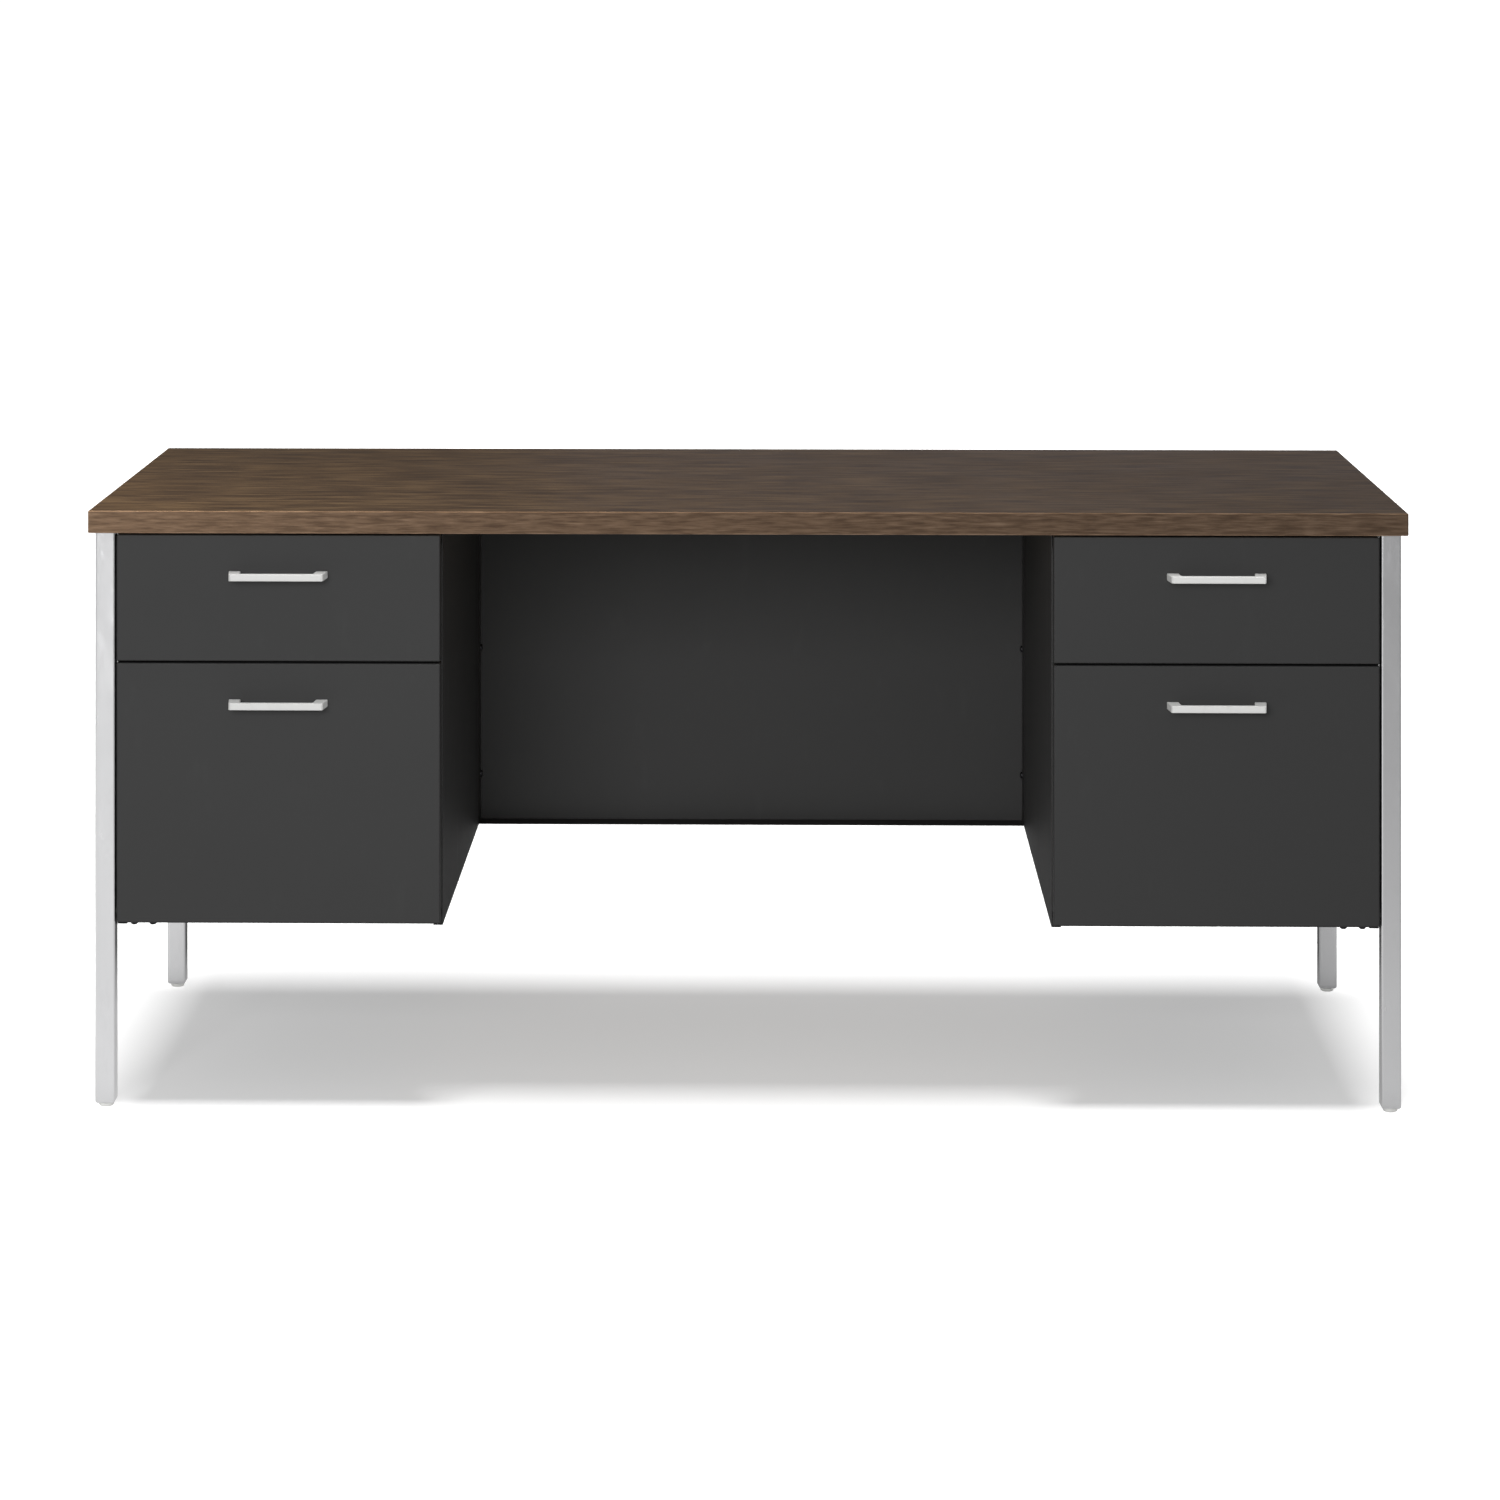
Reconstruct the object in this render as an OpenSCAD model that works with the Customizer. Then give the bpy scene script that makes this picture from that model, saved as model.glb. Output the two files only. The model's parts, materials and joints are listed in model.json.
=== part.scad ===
// Double-pedestal teacher desk: a laminate desktop on four square-tube legs, a steel case at each
// side with a box drawer over a file drawer, and a modesty panel across the back.
// Millimetres. +X is to the right of a person facing the drawers, -Y is the front, +Z is up and the
// floor is z = 0. The origin is under the middle of the desk, handles included.
//
// Inside a pedestal the pieces are placed in its own frame: u runs inward from the inner face of
// the outer side sheet, v runs back from the desktop's front edge, and z is height.

/* [Desk] */
// Width of the desktop
desk_w = 1676.4; // [1600:0.2:1830]
// Depth of the desktop, front edge to back edge
desk_d = 762; // [750:1:800]
// Height of the worktop above the floor
desk_h = 762; // [750:0.5:775]

/* [Desktop] */
// Thickness of the desktop
top_t = 28.6; // [25:0.1:32]
// Thickness of the laminate sheet
laminate_t = 1; // [0.6:0.1:1.2]
// Thickness of the edge band
band_t = 2; // [1.5:0.1:3]
// Radius of the edge band's long outer edges
band_r = 1.2; // [0.5:0.1:1.4]

/* [Legs] */
// Width of the square tube
leg_w = 25.4; // [25:0.1:28]
// Wall of the square tube
leg_wall = 1.5; // [1.2:0.1:2]
// Corner radius of the square tube
leg_r = 2.5; // [2:0.1:4]
// Distance from the desktop's end to the leg
leg_end_inset = 8; // [2:1:30]
// Distance from the desktop's front edge to the front leg and the drawer faces
leg_front_inset = 10; // [5:1:20]
// Distance from the desktop's front edge to the rear leg
leg_rear_v = 698; // [690:1:710]
// Height of the end cap's lower edge above the floor
foot_h = 5; // [4:0.5:8]
// Height of the end cap that shows below the tube
cap_h = 6; // [5:0.5:9]

/* [Pedestals] */
// Width of a pedestal case over its side sheets
case_w = 416.4; // [405:0.1:430]
// Height of a pedestal's bottom edge above the floor
case_z0 = 230; // [220:1:232]
// Thickness of the side, back and rail sheets
sheet_t = 1.2; // [1:0.1:1.2]
// Distance from the desktop's front edge to the side sheets' front edge
case_v0 = 32.5; // [32:0.1:33]
// Distance from the desktop's front edge to the back of a pedestal
case_v1 = 751.8; // [745:0.1:755]

/* [Drawers] */
// Height of a box drawer's front
box_front_h = 160.8; // [150:0.1:162]
// Height of a file drawer's front
file_front_h = 330.5; // [320:0.1:332]
// Gap between the two fronts
seam_gap = 2.5; // [2:0.1:4]
// Depth of the folded pan of a drawer front
front_t = 20; // [16:1:20]
// Depth of a drawer body
body_d = 640; // [600:10:650]
// Height of a box drawer's body
box_body_h = 100; // [80:1:105]
// Height of a file drawer's body
file_body_h = 264; // [250:1:270]

/* [Handles] */
// Distance that a handle stands out from the drawer face
handle_reach = 32; // [28:1:36]
// Length of a handle's bar
handle_bar = 119.2; // [100:0.1:130]
// Height of a handle's bar and posts
handle_h = 9; // [8:0.5:12]

/* [Slides] */
// Radius of a box slide's rollers
roller_r = 11; // [10:0.5:11]
// Radius of a file slide's balls
ball_r = 2; // [1.9:0.05:2]

/* [Modesty panel] */
// Height of the panel's bottom edge above the floor
panel_z0 = 232; // [150:1:400]
// Depth of the flange along the panel's bottom
panel_flange = 38; // [20:1:60]

/* [Hidden] */
$fn = 48;

walnut = [0.36, 0.29, 0.23];
chipboard = [0.72, 0.6, 0.44];
chrome = [0.8, 0.8, 0.8];
charcoal = [0.26, 0.26, 0.26];
satin = [0.84, 0.84, 0.85];
zinc = [0.62, 0.63, 0.65];
black = [0.08, 0.08, 0.08];
nylon = [0.88, 0.88, 0.86];

slack = 0.1;           // gap between neighbouring pieces that don't touch
thread_slack = 0.05;   // radial gap between a screw and its hole
run = 0.05;            // radial running gap of a roller on its pin

// Whole desk
handle_overhang = handle_reach - leg_front_inset;
front_y = -(desk_d - handle_overhang) / 2;
top_z = desk_h - top_t;
core_w = desk_w - 2 * band_t;
core_d = desk_d - 2 * band_t;
core_t = top_t - laminate_t;
band_joint = 0.05;     // gap where two bands meet at a corner

// Pedestal frame
leg_gap = 0.2;         // between a leg and the side sheet beside it
leg_u = -(sheet_t + leg_gap + leg_w);
case_x = desk_w / 2 - leg_end_inset + leg_u;
bay_w = case_w - 2 * sheet_t;
bay_mid = bay_w / 2;
rail_v = case_v0 + 1;

// Feet
stem_r = 4;
plug_l = 20;
glide_r = 9.5;
stem_short = 2;        // the glide's stem ends this far inside the plug

// Flanges and tabs
top_flange = 26;
bottom_flange = 11;
back_flange = 15;
hem_d = 10;
hem_inset = 20;
rail_d = 58;
rail_h = 30;
low_rail_h = 12;
tab_t = 3;
tab_reach = 56;
front_tab_start = 10;  // a front tab starts this far across the leg's back
tab_start_u = leg_u + front_tab_start;
tab_d = 26.6;
front_tab_v = leg_front_inset + leg_w;
rear_tab_inset = 2;
rear_tab_d = leg_w - 2 * rear_tab_inset;
rear_tab_v = leg_rear_v + rear_tab_inset;
bolt_us = [18, 42];
bolt_vs = [front_tab_v + tab_d / 2, leg_rear_v + leg_w / 2];
low_rail_z = case_z0 + sheet_t;
low_tab_z = low_rail_z + sheet_t;
high_tab_z = top_z - sheet_t - tab_t;

// Fasteners
bolt_r = 3;
bolt_hole_r = 3.2;
bolt_head_r = 4.8;
bolt_head_h = 5.2;
bolt_l = 11;
panel_head_h = 3;
screw_r = 2;
screw_head_r = 4.2;
screw_head_h = 2.4;
screw_bite = 14;
screw_hole_r = 2.6;
outer_screw_vs = [240, 500];
inner_screw_vs = [100, 300, 500, 700];
flange_screw_u = 12;
panel_screw_xs = [-260, 0, 260];
panel_screw_back = 12;
panel_screw_v = case_v1 - panel_screw_back;
panel_bolt_zs = [300, 480, 660];
panel_side_flange = 22;
panel_bolt_back = 14;
panel_bolt_v = case_v1 - panel_bolt_back;
bumper_r = 5;
bumper_u = 60;
bumper_drops = [16, 14];   // below the desktop, and below the box drawer's front edge

// Drawers
reveal = 3;
box_front_z = top_z - reveal - box_front_h;
file_front_z = box_front_z - seam_gap - file_front_h;
front_side_gap = 1.75; // from the case's outer face in to the drawer front
front_w = case_w - 2 * front_side_gap;
front_u = (bay_w - front_w) / 2;
liner_t = 1;
liner_lip = 1.5;
body_t = 1;
slide_gap = 12.7;
body_v = leg_front_inset + front_t;
body_w = bay_w - 2 * slide_gap;
box_body_rise = 18.4;
file_body_rise = 16;
box_body_z = box_front_z + box_body_rise;
file_body_z = case_z0 + file_body_rise;
rim = 5;
member_start = 2;      // a slide's drawer member starts this far behind the front's pan

// Handles
handle_splay = 3.5;
handle_post = 15;
handle_bar_t = 7;
handle_corner = 1.8;
handle_inner_lean = 2; // the posts' inner faces lean by this much where they meet the bar
handle_end_lean = 0.3; // the bar's ends lean by this much
handle_below_top = 50.5;
handle_screw_inset = 0.8;
handle_screw_x = handle_bar / 2 + handle_splay - handle_post / 2 - handle_screw_inset;
handle_screw_r = 2;
handle_screw_head_r = 3.8;
handle_screw_depth = 15;
handle_hole_r = handle_screw_r + 0.2;

// Box slides
member_gap = 0.5;      // between the case sheets' hem and the slides
box_member_rise = 5;
box_member_v = case_v0 + hem_d + member_gap;
box_member_l = 600;
box_member_h = 30;
box_member_z = box_body_z + box_member_rise;
box_runner_l = body_d - 32;
box_runner_rise = 5;
box_lip = 9.5;
roller_z = box_member_z + sheet_t + run + roller_r;
front_roller_v = box_member_v + 13;
rear_roller_v = box_member_v + box_member_l - 17;
pin_head_t = 0.8;
roller_u = 3;
roller_w = 5;
pin_r = 2.5;
collar_r = 4;
flange_z = roller_z + roller_r + run;

// File slides
file_slide_z = 405;
file_member_l = 610;
outer_half = 22.85;
outer_lip = 8.4;
middle_half = 17.6;
middle_u = 3;
middle_lip = 9.6;
inner_half = 12.35;
inner_lip = 5.6;
member_t = 1.2;
outer_ball_z = (outer_half - member_t + middle_half) / 2;
outer_ball_u = 6.2;
outer_cage_u = 1.7;
outer_cage_lip = outer_lip - 0.6;
inner_ball_z = (middle_half - member_t + inner_half) / 2;
inner_ball_u = 7.4;
inner_cage_u = 4.5;
inner_cage_lip = middle_lip - 0.2;
cage_v = 300;
cage_l = 150;
cage_t = 0.8;
ball_count = 4;

// Places its children in the left pedestal's frame.
module left() {
    translate([-case_x, front_y, 0]) children();
}

// Places its children in the right pedestal's frame, the left one's mirror image.
module right() {
    mirror([1, 0, 0]) left() children();
}

// Repeats its children on both walls of a drawer bay.
module both_walls() {
    children();
    translate([bay_w, 0, 0]) mirror([1, 0, 0]) children();
}

// A block from its lowest corner.
module block(u, v, z, du, dv, dz) {
    translate([u, v, z]) cube([du, dv, dz]);
}

// A cylinder along u, from u0 to u1.
module rod_u(u0, u1, v, z, r) {
    translate([u0, v, z]) rotate([0, 90, 0]) cylinder(r = r, h = u1 - u0);
}

// A cylinder along v, from v0 to v1.
module rod_v(u, v0, v1, z, r) {
    translate([u, v0, z]) rotate([-90, 0, 0]) cylinder(r = r, h = v1 - v0);
}

// A cylinder up from z.
module rod_z(u, v, z, h, r) {
    translate([u, v, z]) cylinder(r = r, h = h);
}

// A square with round corners, about its centre.
module soft_square(w, r) {
    square([w, w - 2 * r], center = true);
    square([w - 2 * r, w], center = true);
    for (sx = [-1, 1], sy = [-1, 1])
        translate([sx * (w / 2 - r), sy * (w / 2 - r)]) circle(r);
}

// A bolt pointing up: a domed head below z, and its shank above z.
module up_bolt(head_r, head_h, shank_r, shank_l) {
    translate([0, 0, -head_h]) dome(head_r, head_h);
    cylinder(r = shank_r, h = shank_l);
}

// A screw pointing up: a flat head with a chamfered rim below z, and its shank above z.
module up_screw(head_r, head_h, shank_r, shank_l) {
    rim_h = head_h / 2;
    translate([0, 0, -rim_h]) cylinder(r = head_r, h = rim_h);
    translate([0, 0, -head_h]) cylinder(r1 = head_r - rim_h, r2 = head_r, h = head_h - rim_h);
    cylinder(r = shank_r, h = shank_l);
}

// A domed head, flat on top at z = h and round below.
module dome(r, h) {
    rounding = 0.7 * min(r, h);
    rotate_extrude() {
        translate([0, rounding]) square([r, h - rounding]);
        square([r - rounding, h]);
        intersection() {
            translate([r - rounding, rounding]) circle(rounding);
            square([r, rounding]);
        }
    }
}

// ---- Desktop ----

// Every top screw: u, v, and the height of the face its head bears on.
module top_screw_places() {
    for (u = bolt_us, v = bolt_vs) translate([u, v, high_tab_z]) children();
    for (v = outer_screw_vs) translate([flange_screw_u, v, top_z - sheet_t]) children();
    for (v = inner_screw_vs) translate([bay_w - flange_screw_u, v, top_z - sheet_t]) children();
}

module panel_screw_places() {
    for (x = panel_screw_xs) translate([x, front_y + panel_screw_v, top_z - sheet_t]) children();
}

module pilot_hole() {
    cylinder(r = screw_r, h = screw_bite + tab_t + sheet_t + 1);
}

module desktop_core() {
    color(chipboard) difference() {
        block(-core_w / 2, front_y + band_t, top_z, core_w, core_d, core_t);
        left() top_screw_places() pilot_hole();
        right() top_screw_places() pilot_hole();
        panel_screw_places() pilot_hole();
    }
}

module desktop_laminate() {
    color(walnut) block(-core_w / 2, front_y + band_t, top_z + core_t, core_w, core_d, laminate_t);
}

// A band lying along u with its outer face at v = 0.
module band(length) {
    rotate([90, 0, 90]) linear_extrude(length) intersection() {
        square([band_t, top_t]);
        union() {
            translate([band_r, 0]) square([band_t, top_t]);
            translate([0, band_r]) square([band_t, top_t - 2 * band_r]);
            for (z = [band_r, top_t - band_r]) translate([band_r, z]) circle(band_r);
        }
    }
}

module edge_bands() {
    color(walnut) {
        translate([-desk_w / 2, front_y, top_z]) band(desk_w);
        translate([desk_w / 2, front_y + desk_d, top_z]) rotate([0, 0, 180]) band(desk_w);
        translate([desk_w / 2, front_y + band_t + band_joint, top_z])
            rotate([0, 0, 90]) band(core_d - 2 * band_joint);
        translate([-desk_w / 2, front_y + desk_d - band_t - band_joint, top_z])
            rotate([0, 0, -90]) band(core_d - 2 * band_joint);
    }
}

// ---- Legs ----

// Places its children at the middle of a leg's foot.
module at_leg(v) {
    translate([leg_u + leg_w / 2, v + leg_w / 2, 0]) children();
}

module leg_tube(v) {
    z0 = foot_h + cap_h;
    at_leg(v) translate([0, 0, z0]) linear_extrude(top_z - z0) difference() {
        soft_square(leg_w, leg_r);
        soft_square(leg_w - 2 * leg_wall, leg_r - leg_wall);
    }
}

// A welded tab with two holes, threaded for bolts or clear for screws.
module leg_tab(u, v, z, depth, bolt_v, hole_r) {
    difference() {
        block(u, v, z, tab_reach - u, depth, tab_t);
        for (bu = bolt_us) rod_z(bu, bolt_v, z - 1, tab_t + 2, hole_r);
    }
}

module front_leg() {
    color(chrome) {
        leg_tube(leg_front_inset);
        leg_tab(tab_start_u, front_tab_v, low_tab_z, tab_d, bolt_vs[0], bolt_r);
        leg_tab(tab_start_u, front_tab_v, high_tab_z, tab_d, bolt_vs[0], screw_hole_r);
    }
}

module rear_leg() {
    tab_u = leg_u + leg_w;
    color(chrome) {
        leg_tube(leg_rear_v);
        leg_tab(tab_u, rear_tab_v, low_tab_z, rear_tab_d, bolt_vs[1], bolt_r);
        leg_tab(tab_u, rear_tab_v, high_tab_z, rear_tab_d, bolt_vs[1], screw_hole_r);
    }
}

// Side view of the cap: its two lower corners are round.
module cap_profile() {
    r = cap_h - 1;
    translate([-leg_w / 2 + r, 0]) square([leg_w - 2 * r, cap_h]);
    translate([-leg_w / 2, r]) square([leg_w, cap_h - r]);
    for (s = [-1, 1]) translate([s * (leg_w / 2 - r), r]) circle(r);
}

module end_cap(v) {
    plug_w = leg_w - 2 * leg_wall - 2 * slack;
    at_leg(v) translate([0, 0, foot_h]) difference() {
        union() {
            intersection() {
                rotate([90, 0, 0]) linear_extrude(leg_w, center = true) cap_profile();
                rotate([90, 0, 90]) linear_extrude(leg_w, center = true) cap_profile();
                linear_extrude(cap_h) soft_square(leg_w, leg_r);
            }
            translate([0, 0, cap_h]) linear_extrude(plug_l) soft_square(plug_w, leg_r - leg_wall);
        }
        translate([0, 0, -1]) cylinder(r = stem_r, h = cap_h + plug_l + 2);
    }
}

module leg_end_caps() {
    color(chrome) {
        left() end_cap(leg_front_inset);
        left() end_cap(leg_rear_v);
        right() end_cap(leg_front_inset);
        right() end_cap(leg_rear_v);
    }
}

// A levelling glide: a round foot on a threaded stem.
module glide(v) {
    stem_l = foot_h + cap_h + plug_l - stem_short;
    color(nylon) at_leg(v) {
        dome(glide_r, foot_h - slack);
        cylinder(r = stem_r - thread_slack, h = stem_l);
    }
}

// ---- Pedestal case ----

// A side sheet with its flanges and folded front hem, its inner face at u = 0. Its children are
// the places of the screw holes in its top flange.
module side_sheet() {
    height = top_z - case_z0;
    depth = case_v1 - case_v0;
    block(-sheet_t, case_v0, case_z0, sheet_t, depth, height);
    block(0, case_v0, case_z0 + hem_inset, sheet_t, hem_d, height - 2 * hem_inset);
    block(0, case_v0, case_z0, bottom_flange, depth, sheet_t);
    block(0, case_v1 - sheet_t, case_z0 + sheet_t, back_flange, sheet_t, height - 2 * sheet_t);
    difference() {
        block(0, case_v0, top_z - sheet_t, top_flange, depth, sheet_t);
        children();
    }
}

module flange_hole(u, v) {
    rod_z(u, v, top_z - 2 * sheet_t, 3 * sheet_t, screw_hole_r);
}

// An opening in the side sheet that a leg's tab passes through.
module tab_window(v, depth, z) {
    block(-2 * sheet_t, v - slack, z, 2 * sheet_t, depth + 2 * slack, tab_t);
}

module outer_side() {
    color(charcoal) difference() {
        side_sheet() union() {
            for (u = bolt_us, v = bolt_vs) flange_hole(u, v);
            for (v = outer_screw_vs) flange_hole(flange_screw_u, v);
        }
        for (z = [low_tab_z, high_tab_z]) {
            tab_window(front_tab_v, tab_d, z);
            tab_window(rear_tab_v, rear_tab_d, z);
        }
    }
}

module inner_side() {
    color(charcoal) translate([bay_w, 0, 0]) mirror([1, 0, 0]) difference() {
        side_sheet() for (v = inner_screw_vs) flange_hole(flange_screw_u, v);
        for (z = panel_bolt_zs) rod_u(-2 * sheet_t, 1, panel_bolt_v, z, bolt_hole_r);
    }
}

module pedestal_back() {
    color(charcoal)
        block(0, case_v1 - 2 * sheet_t, low_rail_z, bay_w, sheet_t, top_z - sheet_t - low_rail_z);
}

// A cross rail: a flat flange between flange_u and the same distance from the other wall, and a
// wall of its own between wall_u and the same distance from the other wall.
module rail(flange, flange_u, wall_v, wall_z, wall_h, wall_u) {
    block(flange_u, flange[0], flange[1], bay_w - 2 * flange_u, rail_d, sheet_t);
    block(wall_u, wall_v, wall_z, bay_w - 2 * wall_u, sheet_t, wall_h);
}

module low_rail(flange_v, wall_v, wall_h, bolt_v) {
    difference() {
        rail([flange_v, low_rail_z], 0, wall_v, low_rail_z, wall_h, 0);
        for (u = bolt_us) rod_z(u, bolt_v, case_z0, 3 * sheet_t, bolt_hole_r);
    }
}

module high_rail(flange_v, wall_v, wall_u, screw_v) {
    difference() {
        rail([flange_v, top_z - sheet_t], top_flange, wall_v, top_z - rail_h,
            rail_h - sheet_t, wall_u);
        flange_hole(bolt_us[1], screw_v);
    }
}

module pedestal_rails() {
    back_wall_v = case_v1 - 3 * sheet_t;
    back_v = back_wall_v + sheet_t - rail_d;
    color(charcoal) {
        low_rail(rail_v, rail_v, low_rail_h, bolt_vs[0]);
        rail([rail_v, box_front_z - rail_h], sheet_t, rail_v, box_front_z - rail_h, rail_h, sheet_t);
        high_rail(rail_v, rail_v, sheet_t, bolt_vs[0]);
        low_rail(back_v, back_wall_v, rail_h, bolt_vs[1]);
        high_rail(back_v, back_wall_v, 0, bolt_vs[1]);
    }
}

module modesty_panel() {
    half_w = case_x - bay_w - sheet_t;
    height = top_z - panel_z0;
    y = front_y + case_v1 - sheet_t;
    color(charcoal) difference() {
        union() {
            block(-half_w, y, panel_z0, 2 * half_w, sheet_t, height);
            block(-half_w, y - panel_flange, panel_z0, 2 * half_w, panel_flange, sheet_t);
            block(-half_w, y - panel_side_flange, top_z - sheet_t, 2 * half_w,
                panel_side_flange, sheet_t);
            for (x = [-half_w, half_w - sheet_t])
                block(x, y - panel_side_flange, panel_z0, sheet_t, panel_side_flange, height);
        }
        panel_screw_places() translate([0, 0, -1]) cylinder(r = screw_hole_r, h = 4);
        for (z = panel_bolt_zs)
            rod_u(-desk_w / 2, desk_w / 2, front_y + panel_bolt_v, z, bolt_hole_r);
    }
}

// ---- Fasteners ----

module pedestal_bolts() {
    for (u = bolt_us, v = bolt_vs)
        translate([u, v, low_rail_z]) up_bolt(bolt_head_r, bolt_head_h, bolt_r - thread_slack,
            bolt_l - bolt_head_h);
    for (z = panel_bolt_zs) translate([bay_w, panel_bolt_v, z]) rotate([0, 90, 0]) {
        up_bolt(bolt_head_r, panel_head_h, bolt_r - thread_slack, 2 * sheet_t);
        translate([0, 0, 2 * sheet_t + panel_head_h]) rotate([180, 0, 0])
            dome(bolt_head_r, panel_head_h);
    }
}

module frame_bolts() {
    color(black) {
        left() pedestal_bolts();
        right() pedestal_bolts();
    }
}

module top_screw(grip) {
    up_screw(screw_head_r, screw_head_h, screw_r - thread_slack, grip + screw_bite);
}

module pedestal_screws() {
    for (u = bolt_us, v = bolt_vs) translate([u, v, high_tab_z]) top_screw(tab_t + sheet_t);
    for (v = outer_screw_vs) translate([flange_screw_u, v, top_z - sheet_t]) top_screw(sheet_t);
    for (v = inner_screw_vs)
        translate([bay_w - flange_screw_u, v, top_z - sheet_t]) top_screw(sheet_t);
}

module top_screws() {
    color(zinc) {
        left() pedestal_screws();
        right() pedestal_screws();
        panel_screw_places() top_screw(sheet_t);
    }
}

module bumper_set() {
    for (u = [bumper_u, bay_w - bumper_u])
        for (z = [top_z - bumper_drops[0], box_front_z - bumper_drops[1]])
            rod_v(u, body_v + liner_t + slack, rail_v, z, bumper_r);
}

module drawer_bumpers() {
    color(black) {
        left() bumper_set();
        right() bumper_set();
    }
}

// ---- Drawers ----

// Repeats its children at a handle's two screws.
module handle_screw_places(z) {
    for (s = [-1, 1]) translate([bay_mid + s * handle_screw_x, 0, z]) children();
}

// A folded sheet pan, open at the back.
module drawer_front(z, h) {
    color(charcoal) difference() {
        block(front_u, leg_front_inset, z, front_w, front_t, h);
        block(front_u + sheet_t, leg_front_inset + sheet_t, z + sheet_t,
            front_w - 2 * sheet_t, front_t, h - 2 * sheet_t);
        handle_screw_places(z + h - handle_below_top)
            rod_v(0, leg_front_inset - 1, body_v, 0, handle_hole_r);
    }
}

// A tray with a rolled rim, and a tall front wall that closes the pan.
module drawer_body(z, h, front_z, front_h) {
    u0 = slide_gap;
    color(charcoal) difference() {
        union() {
            difference() {
                block(u0, body_v, z, body_w, body_d, h);
                block(u0 + body_t, body_v + liner_t, z + body_t, body_w - 2 * body_t,
                    body_d - liner_t - body_t, h);
            }
            for (u = [u0, u0 + body_w - rim])
                block(u, body_v + liner_t, z + h - body_t, rim, body_d - liner_t, body_t);
            block(front_u + liner_lip, body_v, front_z + liner_lip, front_w - 2 * liner_lip,
                liner_t, front_h - 2 * liner_lip);
        }
        handle_screw_places(front_z + front_h - handle_below_top)
            rod_v(0, body_v - 1, body_v + 2 * liner_t + 1, 0, handle_hole_r);
    }
}

// A bar handle with posts that splay out towards the drawer face.
module handle(z) {
    a = handle_bar / 2;
    b = a + handle_splay;
    c = handle_corner;
    e = handle_end_lean;
    f = handle_inner_lean;
    bar_y = handle_reach - handle_bar_t;
    color(satin) translate([bay_mid, leg_front_inset, z]) difference() {
        translate([0, 0, -handle_h / 2]) mirror([0, 1, 0]) linear_extrude(handle_h) polygon([
            [-b, 0], [-a - e, handle_reach - c], [-a + c, handle_reach],
            [a - c, handle_reach], [a + e, handle_reach - c], [b, 0],
            [b - handle_post, 0], [a - handle_post + f, bar_y - f], [a - handle_post, bar_y],
            [-a + handle_post, bar_y], [-a + handle_post - f, bar_y - f], [handle_post - b, 0]
        ]);
        for (s = [-1, 1]) rod_v(s * handle_screw_x, -handle_screw_depth, 1, 0, handle_screw_r);
    }
}

module handle_screws(z) {
    v = body_v + liner_t;
    color(zinc) handle_screw_places(z) {
        rod_v(0, leg_front_inset - handle_screw_depth + 1, v, 0, handle_screw_r - thread_slack);
        rod_v(0, v, v + screw_head_h, 0, handle_screw_head_r);
    }
}

// Inverted channels that cap the two sides of a file drawer and carry hanging files.
module hang_rails() {
    top = file_body_z + file_body_h;
    t = 1.6;
    leg = 12;
    u0 = slide_gap - slack - t;
    u1 = slide_gap + rim + slack;
    v0 = body_v + liner_t + slack;
    length = body_d - liner_t - body_t - 2 * slack;
    color(zinc) both_walls() {
        block(u0, v0, top + slack, u1 + t - u0, length, t);
        block(u0, v0, top - leg, t, length, leg + slack);
        block(u1, v0, top - leg, t, length, leg + slack);
    }
}

// ---- Box slides ----

// A C channel with its web at u0 and its flanges reaching to u1, over a height h from z.
module channel(u0, u1, v, length, z, h, t) {
    web = u1 > u0 ? u0 : u0 - t;
    block(web, v, z, t, length, h);
    for (fz = [z, z + h - t]) block(min(u0, u1), v, fz, abs(u1 - u0), length, t);
}

module box_case_members() {
    color(zinc) both_walls() {
        channel(0, box_lip, box_member_v, box_member_l, box_member_z, box_member_h, sheet_t);
        roller_pin(sheet_t, roller_u + roller_w, front_roller_v, 1);
    }
}

// A pin with a collar at its root and a flat head at its end.
module roller_pin(root, tip, v, side) {
    near = side > 0 ? roller_u - slack : roller_u + roller_w + slack;
    far = side > 0 ? tip + slack : roller_u - slack;
    rod_u(min(root, near), max(root, near), v, roller_z, collar_r);
    rod_u(roller_u - slack, roller_u + roller_w + slack, v, roller_z, pin_r);
    head = far + side * pin_head_t;
    rod_u(min(far, head), max(far, head), v, roller_z, collar_r);
}

module box_drawer_members() {
    v = body_v + member_start;
    z0 = box_member_z + box_runner_rise;
    lip_u = roller_u - member_gap;
    color(zinc) both_walls() {
        block(slide_gap - sheet_t, v, z0, sheet_t, box_runner_l, flange_z + sheet_t - z0);
        block(lip_u, v, flange_z, slide_gap - lip_u, box_runner_l, sheet_t);
        roller_pin(slide_gap - sheet_t, roller_u, rear_roller_v, -1);
    }
}

module rollers(v) {
    color(nylon) both_walls() difference() {
        rod_u(roller_u, roller_u + roller_w, v, roller_z, roller_r);
        rod_u(roller_u - 1, roller_u + roller_w + 1, v, roller_z, pin_r + run);
    }
}

// ---- File slides ----

module file_case_members() {
    color(zinc) both_walls() channel(0, outer_lip, box_member_v, file_member_l,
        file_slide_z - outer_half, 2 * outer_half, member_t);
}

module file_middle_members() {
    color(zinc) both_walls() channel(middle_u, middle_lip, box_member_v, file_member_l,
        file_slide_z - middle_half, 2 * middle_half, member_t);
}

module file_drawer_members() {
    color(zinc) both_walls() channel(slide_gap, inner_lip, body_v + member_start, file_member_l,
        file_slide_z - inner_half, 2 * inner_half, member_t);
}

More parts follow.
